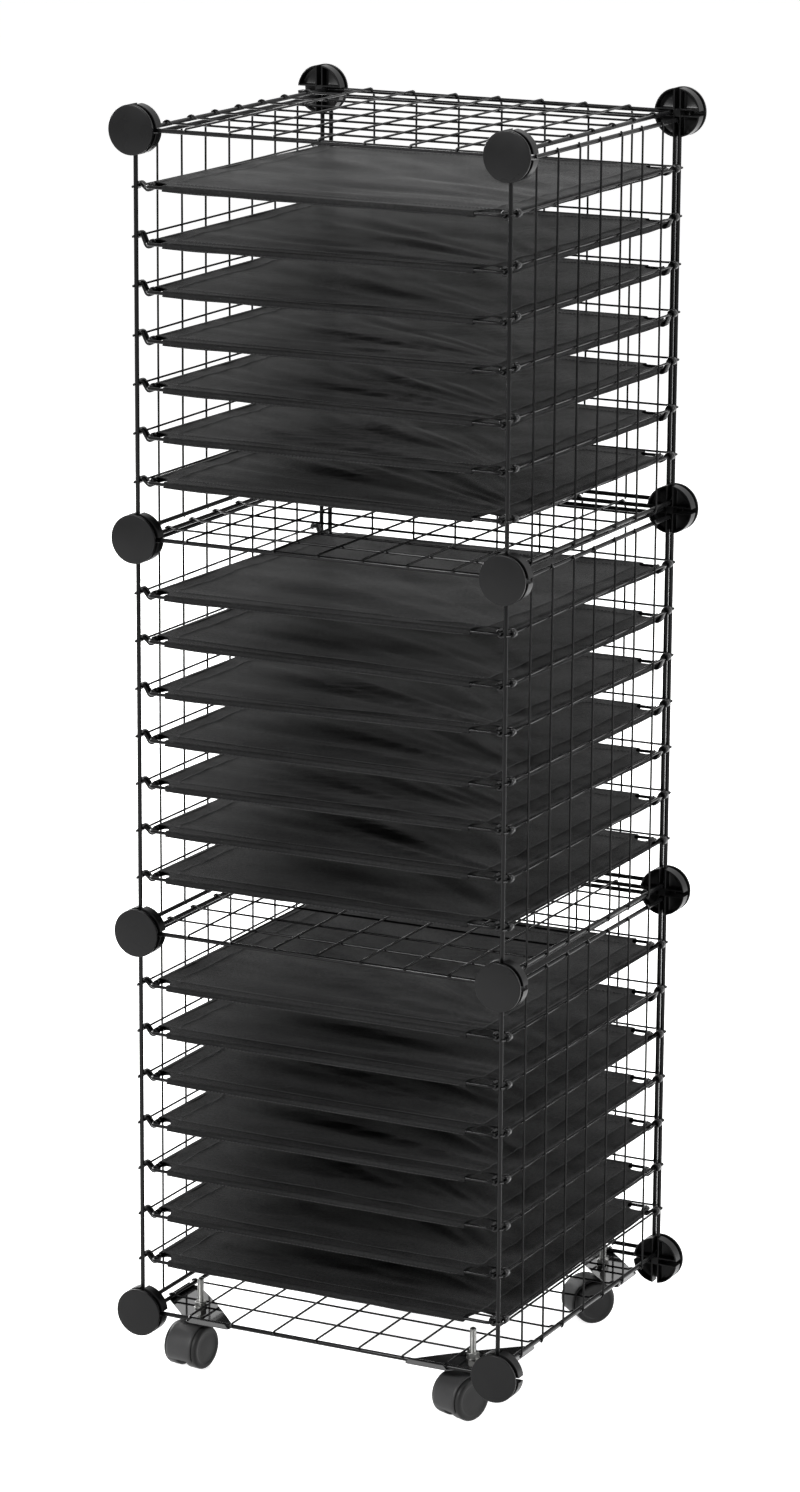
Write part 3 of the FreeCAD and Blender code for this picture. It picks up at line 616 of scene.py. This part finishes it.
def makeHem(relief, settings, turn):
    # The section is a loose sleeve: over the wire, down past it and back under the sheet to the seam. It is
    # carried along one side and hangs less near the cuts; its ends follow the cut's circle and then the mitre.
    across, along = sideSizes(turn)
    hem, wire = settings["hem"], shelfSizes["wireRadius"]
    outer = np.array([[-3.0, 2.42], [-1.0, 2.5], [0.6, 2.4], [1.8, 1.9], [2.4, 1.0], [2.2, 0.2], [1.8, -0.7],
                      [1.35, -1.5], [1.4, -2.1], [1.9, -2.6], [1.8, -3.1], [0.9, -3.4], [-0.6, -3.3], [-4.0, -2.1],
                      [-8.0, -0.6], [-13.0, 0.6], [-hem, 1.45]])
    normal = np.gradient(outer, axis=0)[:, ::-1] * [1, -1]
    inner = outer + 0.65 * shelfSizes["thickness"] * normal / np.linalg.norm(normal, axis=1, keepdims=True)
    section = np.concatenate([outer, inner[::-1]])
    depth = np.clip(wire - section[:, 0], 0, hem)
    ends = []
    for end in (-1, 1):
        corner = tuple(np.sign(turnedPlaces(1.0, float(end), turn)).astype(int).tolist())
        cutAcross, cutAlong, radius = np.array(settings["cuts"][corner])[[turn % 2, 1 - turn % 2, 2]]
        bite = cutAlong + np.sqrt(np.clip(radius ** 2 - (depth - cutAcross) ** 2, 0, None))
        bite = np.where(depth < cutAcross + radius, bite, 0)
        ends.append(end * (along + wire - np.maximum(bite, depth)))
    share = np.sin(np.linspace(-np.pi / 2, np.pi / 2, 33))
    run = ends[0] + (0.5 + 0.5 * share[:, None]) * (ends[1] - ends[0])
    outward = np.broadcast_to(across + section[:, 0], run.shape)
    x, y = turnedPlaces(outward, run, turn)
    least = settings["hangAtCut"] / settings["hang"]
    hang = least + (1 - least) * np.clip((1 - np.abs(share)) / 0.14, 0, 1) ** 0.6
    height = np.where(section[:, 1] < 0, section[:, 1] * hang[:, None], section[:, 1])
    height = height + np.clip(-section[:, 0] / hem, 0, 1) * relief(x, y)
    ripple = 0.22 * np.sin(run / 11 + turn) * (section[:, 1] < -1)
    rings = np.stack([x, y, height + ripple], -1)
    points, faces, number = skin(rings[:, ::-1])
    unrolled = np.cumsum(np.r_[0, np.linalg.norm(np.diff(section, axis=0), axis=1)])
    flat = turnedPlaces(np.broadcast_to(across - 2 + unrolled, run.shape), run, turn)
    return points, faces, number, np.stack(flat, -1)[:, ::-1].reshape(-1, 2) * millimetre


def stitchRow(places, rise, lean):
    # Low four-sided blocks, all the same: a rim below and a smaller top, one at every place.
    halfLong, halfWide = clothSizes["stitch"] / 2, clothSizes["stitchWidth"] / 2
    rim = np.array([[halfWide, -halfLong], [halfWide, halfLong], [-halfWide, halfLong], [-halfWide, -halfLong]])
    low, high = np.column_stack([rim, np.full(4, -0.3)]), np.column_stack([rim * [0.6, 0.7], np.full(4, rise)])
    block = np.concatenate([low, high])
    if lean:  # stands on the front of the hem: out and up change places
        block = block[:, [2, 1, 0]] * [1, 1, -1]
    box = np.array([[0, 1, 5, 4], [1, 2, 6, 5], [2, 3, 7, 6], [3, 0, 4, 7], [4, 5, 6, 7], [3, 2, 1, 0]])
    faces = (box + 8 * np.arange(len(places))[:, None, None]).reshape(-1, 4)
    return places[:, None] + block, faces


def makeStitches(relief, settings, turn):
    # One row on top along the seam, and a shorter one on the outside of the hem under the wire.
    across, along = sideSizes(turn)
    inset, wire = settings["seamInset"], shelfSizes["wireRadius"]
    result = []
    for outward, height, rise, onHem in ((wire - inset, 0, 0.42, False), (1.9, -2.5, 0.35, True)):
        reach = along - inset - (12 if onHem else 2)
        run = np.arange(-reach, reach, settings["stitchPitch"])
        places = np.column_stack([np.full(len(run), across + outward), run, np.full(len(run), height)])
        points, faces = stitchRow(places, rise, onHem)
        x, y = turnedPlaces(points[..., 0], points[..., 1], turn)
        z = points[..., 2]
        if not onHem:
            z = z + relief(x, y) + wire + shelfSizes["thickness"]
        result.append((np.stack([x, y, z], -1).reshape(-1, 3), [faces], 1))
    return result


for tier in range(3):
    for shelf in range(shelfSizes["count"]):
        relief = makeRelief(clothSizes, np.random.default_rng(100 + 10 * tier + shelf))
        surfaces = [makeSheetSurface(relief, clothSizes)]
        for turn in range(4):
            surfaces += [makeHem(relief, clothSizes, turn)] + makeStitches(relief, clothSizes, turn)
        surfaces = [hung(surface, tier, shelf) for surface in surfaces]
        cloth = addPiece(f"shelfCloth.{tier + 1}.{shelf + 1}", surfaces, ["wovenCloth", "seamThread"], "tower",
                         f"tier_{tier + 1}_shelf_{shelf + 1}_cloth")
print("cloth made")


# Corner plates

plateSizes = {
    "low": 50.0, "thickness": 1.0, "far": 89.0, "near": 131.0, "outside": 176.35, "tip": 167.07, "bow": 2.1,
    "lip": 3.0, "stem": 138.5, "hole": 3.1, "edge": 0.22, "cornerRound": 3.5, "bowRound": 38.0,
}


def makePlate(settings):
    # Flat sheet: each point of its outline is joined to the hole's point in the same direction, so the rings
    # are outline, hole top, hole bottom; two strips stand up along the outer edges.
    far, near, outside, tip, edge, hole = picked(settings, "far", "near", "outside", "tip", "edge", "hole")
    middle = (far + tip) / 2 - settings["bow"]
    corners = np.array([[outside, far], [outside, near], [near, outside], [far, outside], [far, tip], [middle, middle],
                        [tip, far]])
    rounds = np.full(7, settings["cornerRound"])
    rounds[5] = settings["bowRound"]
    outline = roundedOutline(corners, rounds, 9)
    centre = np.full(2, settings["stem"])
    away = outline - centre
    reach = np.linalg.norm(away, axis=1, keepdims=True)
    direction = away / reach
    low, high = settings["low"], settings["low"] + settings["thickness"]
    steps = [(reach, low + edge), (reach, high - edge), (reach - edge, high), (0.5 * reach, high), (hole + edge, high),
             (hole, high - edge), (hole, low + edge), (hole + edge, low), (0.5 * reach, low), (reach - edge, low)]
    rings = [np.column_stack([centre + direction * away, np.full(len(reach), height)]) for away, height in steps]
    sheetMetal = skin(np.stack(rings), True)
    half, run = settings["thickness"] / 2, np.linspace(far + 1.2, near - 0.6, 15)
    share = (run - run[0]) / (run[-1] - run[0])
    rise = settings["lip"] * np.clip(np.minimum(share, 1 - share) / 0.06, 0, 1) ** 0.5
    strip = bentRectangle(half, 0.5, 0.25, 3)
    upward = np.where(strip[:, 1] > 0, rise[:, None] + 0.4, -0.2) + strip[:, 1] * 0.4
    tall = np.stack([np.broadcast_to(strip[:, 0], upward.shape), upward], -1)
    place = np.column_stack([np.full(15, outside - half), run, np.full(15, high)])
    lips = [carryAlong(place, tall, zAxis), carryAlong(place[::-1, [1, 0, 2]], tall[::-1], zAxis)]
    return [sheetMetal] + lips


plate = makePlate(plateSizes)  # the rear right one
surfaces = [moved(surface, axes) for axes in quarters for surface in plate]
addPiece("cornerPlates", surfaces, ["platePaint"], "tower", "corner_plates")


# Stems, washers and nuts

fastenerSizes = {
    "stemRadius": 3.0, "stemTop": 80.0, "stemLow": 27.6, "collar": 5.5, "collarLow": 48.0, "threadLow": 57.6,
    "threadDepth": 0.22, "threadPitch": 1.0, "washer": 6.0, "washerLow": 51.0, "washerHigh": 52.2, "hole": 3.1,
    "nutFlats": 10.0, "nutHigh": 57.2, "nutHole": 3.05, "chamfer": 0.75,
}


def makeStem(settings):
    # Radius is that of the shaft less depth * (0.5 + 0.5 cos(2 pi height / pitch - angle)), which is a screw thread.
    radius, top = settings["stemRadius"], settings["stemTop"]
    sides, pitch = 20, settings["threadPitch"]
    angle = around(sides)
    threadHeights = np.arange(settings["threadLow"], top - 1.2, pitch / 6)
    cut = settings["threadDepth"] * (0.5 + 0.5 * np.cos(2 * np.pi * threadHeights[:, None] / pitch - angle))
    collar, low = settings["collar"], settings["collarLow"]
    foot = settings["stemLow"]
    plain = np.array([[0.05, foot], [radius - 0.5, foot], [radius, foot + 0.6], [radius, low], [collar - 0.3, low],
                      [collar, low + 0.3], [collar, low + 1.7], [collar - 0.3, low + 2], [radius, low + 2],
                      [radius, settings["threadLow"] - 0.3]])
    tip = np.array([[radius - 0.35, top - 1.1], [radius - 0.9, top - 0.35], [radius - 1.6, top], [0.05, top]])
    radii = np.concatenate([np.repeat(plain[:, :1], sides, 1), radius - cut, np.repeat(tip[:, :1], sides, 1)])
    heights = np.concatenate([plain[:, 1], threadHeights, tip[:, 1]])
    return skin(ringsAt(radii, angle, heights[:, None]))


def makeWasher(settings):
    # Closed section turned about Z: hole, under side, rim and top.
    low, high, rim, hole = picked(settings, "washerLow", "washerHigh", "washer", "hole")
    section = np.array([[hole, high - 0.1], [hole, low + 0.1], [hole + 0.1, low], [rim - 0.3, low], [rim, low + 0.3],
                        [rim, high - 0.3], [rim - 0.3, high], [hole + 0.1, high]])
    return turnProfile(section, 32, True)


def makeNut(settings):
    # Hexagon in polar form, flats / 2 / cos(angle from the middle of the flat), with its ends turned to a cone.
    low, high, hole, chamfer = picked(settings, "washerHigh", "nutHigh", "nutHole", "chamfer")
    angle = around(48)
    hexagon = settings["nutFlats"] / 2 / np.cos(angle % (np.pi / 3) - np.pi / 6)
    inner = settings["nutFlats"] / 2 * 0.985
    steps = [(hole, high - 0.4), (hole, low + 0.4), (hole + 0.4, low), (inner, low)]
    limits = np.linspace(0, 1, 4)
    lower = [(np.minimum(hexagon, inner + 0.85 * share), low + chamfer * share) for share in limits[1:]]
    upper = [(np.minimum(hexagon, inner + 0.85 * share), high - chamfer * share) for share in limits[:0:-1]]
    steps += lower + upper + [(inner, high), (hole + 0.4, high)]
    return skin(np.stack([ringsAt(far, angle, height) for far, height in steps]), True)


def fourTimes(surface):
    # One under each corner, each turned by its own quarter so that no two look the same.
    stem = plateSizes["stem"]
    return [moved(surface, ((c, s, 0), (-s, c, 0), zAxis), (x * stem, y * stem, 0)) for x, y, c, s in
            ((-1, -1, 1, 0), (1, -1, 0.966, 0.259), (-1, 1, 0.906, 0.423), (1, 1, 0.966, -0.259))]


for name, make, node, sharpAngle in (("casterStems", makeStem, "caster_stems", 0.7),
                                     ("stemWashers", makeWasher, "stem_washers", 0.7),
                                     ("stemNuts", makeNut, "stem_nuts", 0.4)):
    addPiece(name, fourTimes(make(fastenerSizes)), ["zincSteel"], "tower", node, sharpAngle)
print("plates and fasteners made")


# Twin-wheel casters. Each is made about its stem on the Z axis, with the axle trailing towards -Y.

casterSizes = {
    "trail": 15.0, "axleHeight": 20.0, "well": 20.5, "hood": 22.0, "hoodHalf": 13.3, "hoodEdge": 3.0, "arcLow": -27.0,
    "arcHigh": 207.0, "web": 4.5, "hem": 10.0, "boss": 8.0, "bossTop": 47.6, "stemHole": 3.05, "wheel": 20.0,
    "wheelStart": 5.0, "wheelEnd": 17.5, "wheelEdge": 2.8, "rim": 2.2, "dish": 0.45, "axle": 2.0, "axleHalf": 14.0,
}
swivels = {"front_left": 6.5, "front_right": 20.0, "rear_left": 12.0, "rear_right": 40.0}  # clockwise from above


def makeHoodShell(settings):
    # Section across the wheels (x, radius) carried round the axle; its upper edges are quarter ellipses.
    half, edge, outer, inner = picked(settings, "hoodHalf", "hoodEdge", "hood", "well")
    turn = np.linspace(0, np.pi / 2, 6)
    rounded = np.stack([half - edge + edge * np.cos(turn), outer - 1.2 + 1.2 * np.sin(turn)], 1)
    crown = np.stack([np.linspace(half - edge, edge - half, 7)[1:-1], np.full(5, outer)], 1)
    under = np.stack([np.linspace(0.2 - half, half - 0.2, 5), np.full(5, inner)], 1)
    section = np.concatenate([rounded, crown, (rounded * [-1, 1])[::-1], under])
    angle = np.radians(np.linspace(180 - settings["arcLow"], 180 - settings["arcHigh"], 40))
    blunt = np.clip(np.minimum(np.arange(40), 39 - np.arange(40)) / 2, 0, 1)[:, None]
    radius = inner + (section[:, 1] - inner) * (0.55 + 0.45 * blunt)
    x = np.broadcast_to(section[:, 0], radius.shape)
    y = radius * np.cos(angle)[:, None] - settings["trail"]
    z = radius * np.sin(angle)[:, None] + settings["axleHeight"]
    return skin(np.stack([x, y, z], -1))


def makeHoodWeb(settings):
    # Disc between the wheels, cut level at the hem, and the housing under the stem: a side outline given X width.
    disc = roundOutline(settings["hood"] - 0.8, 72) + [-settings["trail"], settings["axleHeight"]]
    disc[:, 1] = np.maximum(disc[:, 1], settings["hem"])
    boss = settings["boss"] - 0.3
    housing = roundedOutline(np.array([[boss, 24.0], [boss, 40.0], [-boss, 40.0], [-boss, 24.0]]), np.full(4, 2.5), 4)
    return [skin(np.stack([np.column_stack([np.full(len(side), x), side]) for x in (-half, half)]))
            for side, half in ((disc, settings["web"] - 0.05), (housing, settings["web"] - 0.02))]


def makeHoodNeck(settings):
    # Collar round the stem: from its flat top down to where it meets the shell, with a flare towards the bottom.
    # Lower end = axle height + sqrt(R^2 - (y + trail)^2), which follows the shell, and never under a set height.
    sides, flare, shell, least = 48, 1.7, 21.4, 11.5
    boss, top, trail, hole = picked(settings, "boss", "bossTop", "trail", "stemHole")
    angle = around(sides)
    y = (boss + flare) * np.sin(angle)
    end = settings["axleHeight"] + np.sqrt(np.clip(shell ** 2 - (y + trail) ** 2, least ** 2, None))
    down = np.array([0.12, 0.4, 0.6, 0.75, 0.87, 0.95, 1.0])
    heights = top - 0.5 - (top - 0.5 - end) * down[:, None]
    radii = boss + flare * np.clip((down - 0.4) / 0.6, 0, 1)[:, None] ** 2 * np.ones(sides)
    upper = [(hole, top - 4), (hole, top), (boss - 0.6, top), (boss, top - 0.5)]
    radii = np.concatenate([radii[::-1]] + [np.full((1, sides), far) for far, _ in upper[::-1]])
    heights = np.concatenate([heights[::-1]] + [np.full((1, sides), height) for _, height in upper[::-1]])
    return skin(ringsAt(radii, angle, heights))


acrossAxes = (yAxis, zAxis, xAxis)  # a turned piece's own X, Y and Z point along the caster's Y, Z and X


def makeWheel(settings, hand):
    # Turned profile (radius, distance along the axle): inner face, tread, rounded edge, rim and a shallow dish.
    radius, start, end, edge, dish = picked(settings, "wheel", "wheelStart", "wheelEnd", "wheelEdge", "dish")
    rounded = np.array([radius - edge, end - edge]) + edge * onCircle(np.linspace(0, np.pi / 2, 7))
    rim = radius - edge - settings["rim"]
    inside = [[0.05, start + 0.4], [2.6, start + 0.4], [3.2, start], [radius - 1, start],
              [radius - 0.3, start + 0.3], [radius, start + 1]]
    outside = [[rim, end], [rim - 0.5, end - 0.7 * dish], [rim - 1, end - dish], [9, end - dish],
               [0.05, end - dish + 0.25]]
    wheel = turnProfile(np.concatenate([inside, rounded, outside]), 64)
    points, faces, number = moved(wheel, acrossAxes, (0, -settings["trail"], settings["axleHeight"]))
    if hand > 0:
        return points, faces, number
    return points * [-1, 1, 1], [face[:, ::-1] for face in faces], number  # mirrored, so the faces are turned over


def makeAxle(settings):
    half, radius = settings["axleHalf"], settings["axle"] - 0.03
    profile = np.array([[0.05, -half], [radius - 0.3, -half], [radius, 0.3 - half], [radius, half - 0.3],
                        [radius - 0.3, half], [0.05, half]])
    return moved(turnProfile(profile, 20), acrossAxes, (0, -settings["trail"], settings["axleHeight"]))


hood = [makeHoodShell(casterSizes)] + makeHoodWeb(casterSizes) + [makeHoodNeck(casterSizes)]
leftWheel, rightWheel, axle = makeWheel(casterSizes, -1), makeWheel(casterSizes, 1), makeAxle(casterSizes)
for corner, swivel in swivels.items():
    cos, sin = np.cos(np.radians(swivel)), np.sin(np.radians(swivel))
    axes = ((cos, -sin, 0), (sin, cos, 0), zAxis)  # clockwise from above
    place = [plateSizes["stem"] * (1 if side in corner else -1) for side in ("right", "rear")] + [0]
    for piece, node, parts, finish, body, slotName in (
            ("Hood", "hood", hood, "hoodPlastic", "swivel", "caster_plastic"),
            ("Axle", "axle", [axle], "zincSteel", "swivel", "zinc_steel"),
            ("LeftWheel", "left_wheel", [leftWheel], "wheelPlastic", "left_wheel", "wheel_plastic"),
            ("RightWheel", "right_wheel", [rightWheel], "wheelPlastic", "right_wheel", "wheel_plastic")):
        addPiece(f"caster{piece}.{corner}", [moved(part, axes, place) for part in parts], [finish],
                 f"{corner}_{body}", f"{corner}_caster_{node}", 0.6)
print("casters made")


# Floor, light and camera

studio = {
    "floorSize": 40.0, "floorColour": (0.86, 0.86, 0.86), "floorRoughness": 0.9, "floorShine": 0.1, "floorGlow": 0.88,
    "worldLight": 0.1, "aim": (0, 0, 0.6),
}
lamps = {
    "left": {"place": (-3.2, 1.7, 1.8), "size": 1.9, "power": 200},
    "right": {"place": (3.5, 0.6, 1.8), "size": 1.9, "power": 110},
    "front": {"place": (-1.6, -4.2, 2.9), "size": 0.8, "power": 200},
    "top": {"place": (0.1, 0.6, 3.6), "size": 2.4, "power": 70},
}


def seenDirectly(tree):
    # 1 for rays from the camera, off shine or through glass, and 0 for the light that reaches the object.
    path = addNode(tree, "LightPath", {}).outputs
    seen = mathNode(tree, "MAXIMUM", path["Is Camera Ray"], path["Is Glossy Ray"])
    return mathNode(tree, "MAXIMUM", seen, path["Is Transmission Ray"])


def addFloor(settings):
    half = settings["floorSize"] / 2
    mesh = bpy.data.meshes.new("floor")
    mesh.from_pydata([(-half, -half, 0), (half, -half, 0), (half, half, 0), (-half, half, 0)], [], [(0, 1, 2, 3)])
    material, tree, shader = newMaterial("paleFloor")
    feed(tree, shader, {
        "Base Color": (*settings["floorColour"], 1), "Roughness": settings["floorRoughness"],
        "Specular IOR Level": settings["floorShine"], "Emission Color": (1, 1, 1, 1),
        "Emission Strength": mathNode(tree, "MULTIPLY", seenDirectly(tree), settings["floorGlow"])})
    mesh.materials.append(material)
    floor = addObject("floor", mesh)


def lightWorld(settings):
    # Strength is 1 where it is seen directly and worldLight where it lights the object.
    world = bpy.data.worlds.new("studioAir")
    scene.world = world
    world.use_nodes = True
    tree = world.node_tree
    extra = mathNode(tree, "MULTIPLY", seenDirectly(tree), 1 - settings["worldLight"])
    feed(tree, tree.nodes["Background"], {
        "Color": (1, 1, 1, 1), "Strength": mathNode(tree, "ADD", extra, settings["worldLight"])})


def aimed(forward, roll=0.0):
    # Turns an object that looks along -Z: columns are right, up and backwards; roll turns right towards up.
    forward = np.asarray(forward, float) / np.linalg.norm(forward)
    right = np.cross(forward, zAxis)
    right /= np.linalg.norm(right)
    turned = np.cos(roll) * right + np.sin(roll) * np.cross(right, forward)
    return Matrix(np.stack([turned, np.cross(turned, forward), -forward], 1).tolist()).to_euler()


def addLamp(name, settings):
    lamp = bpy.data.lights.new(name, "AREA")
    lamp.shape = "DISK"
    lamp.size, lamp.energy = settings["size"], settings["power"]
    item = addObject(name, lamp)
    item.location = settings["place"]
    item.rotation_euler = aimed(np.subtract(studio["aim"], settings["place"]))


addFloor(studio)
lightWorld(studio)
for name, settings in lamps.items():
    addLamp(name, settings)

cameraSizes = {
    "place": (2.0077, -3.9887, 1.6767), "azimuth": 26.81, "elevation": 13.97, "roll": 0.36, "lens": 123.15,
    "sensor": 36,
}
azimuth, elevation, roll = np.radians(picked(cameraSizes, "azimuth", "elevation", "roll"))
camera = addObject("camera", bpy.data.cameras.new("camera"))
camera.data.lens, camera.data.sensor_width = cameraSizes["lens"], cameraSizes["sensor"]
camera.location = cameraSizes["place"]
forward = (-np.sin(azimuth) * np.cos(elevation), np.cos(azimuth) * np.cos(elevation), -np.sin(elevation))
camera.rotation_euler = aimed(forward, roll)
scene.camera = camera
scene.view_settings.view_transform = "Standard"
print("stage made")
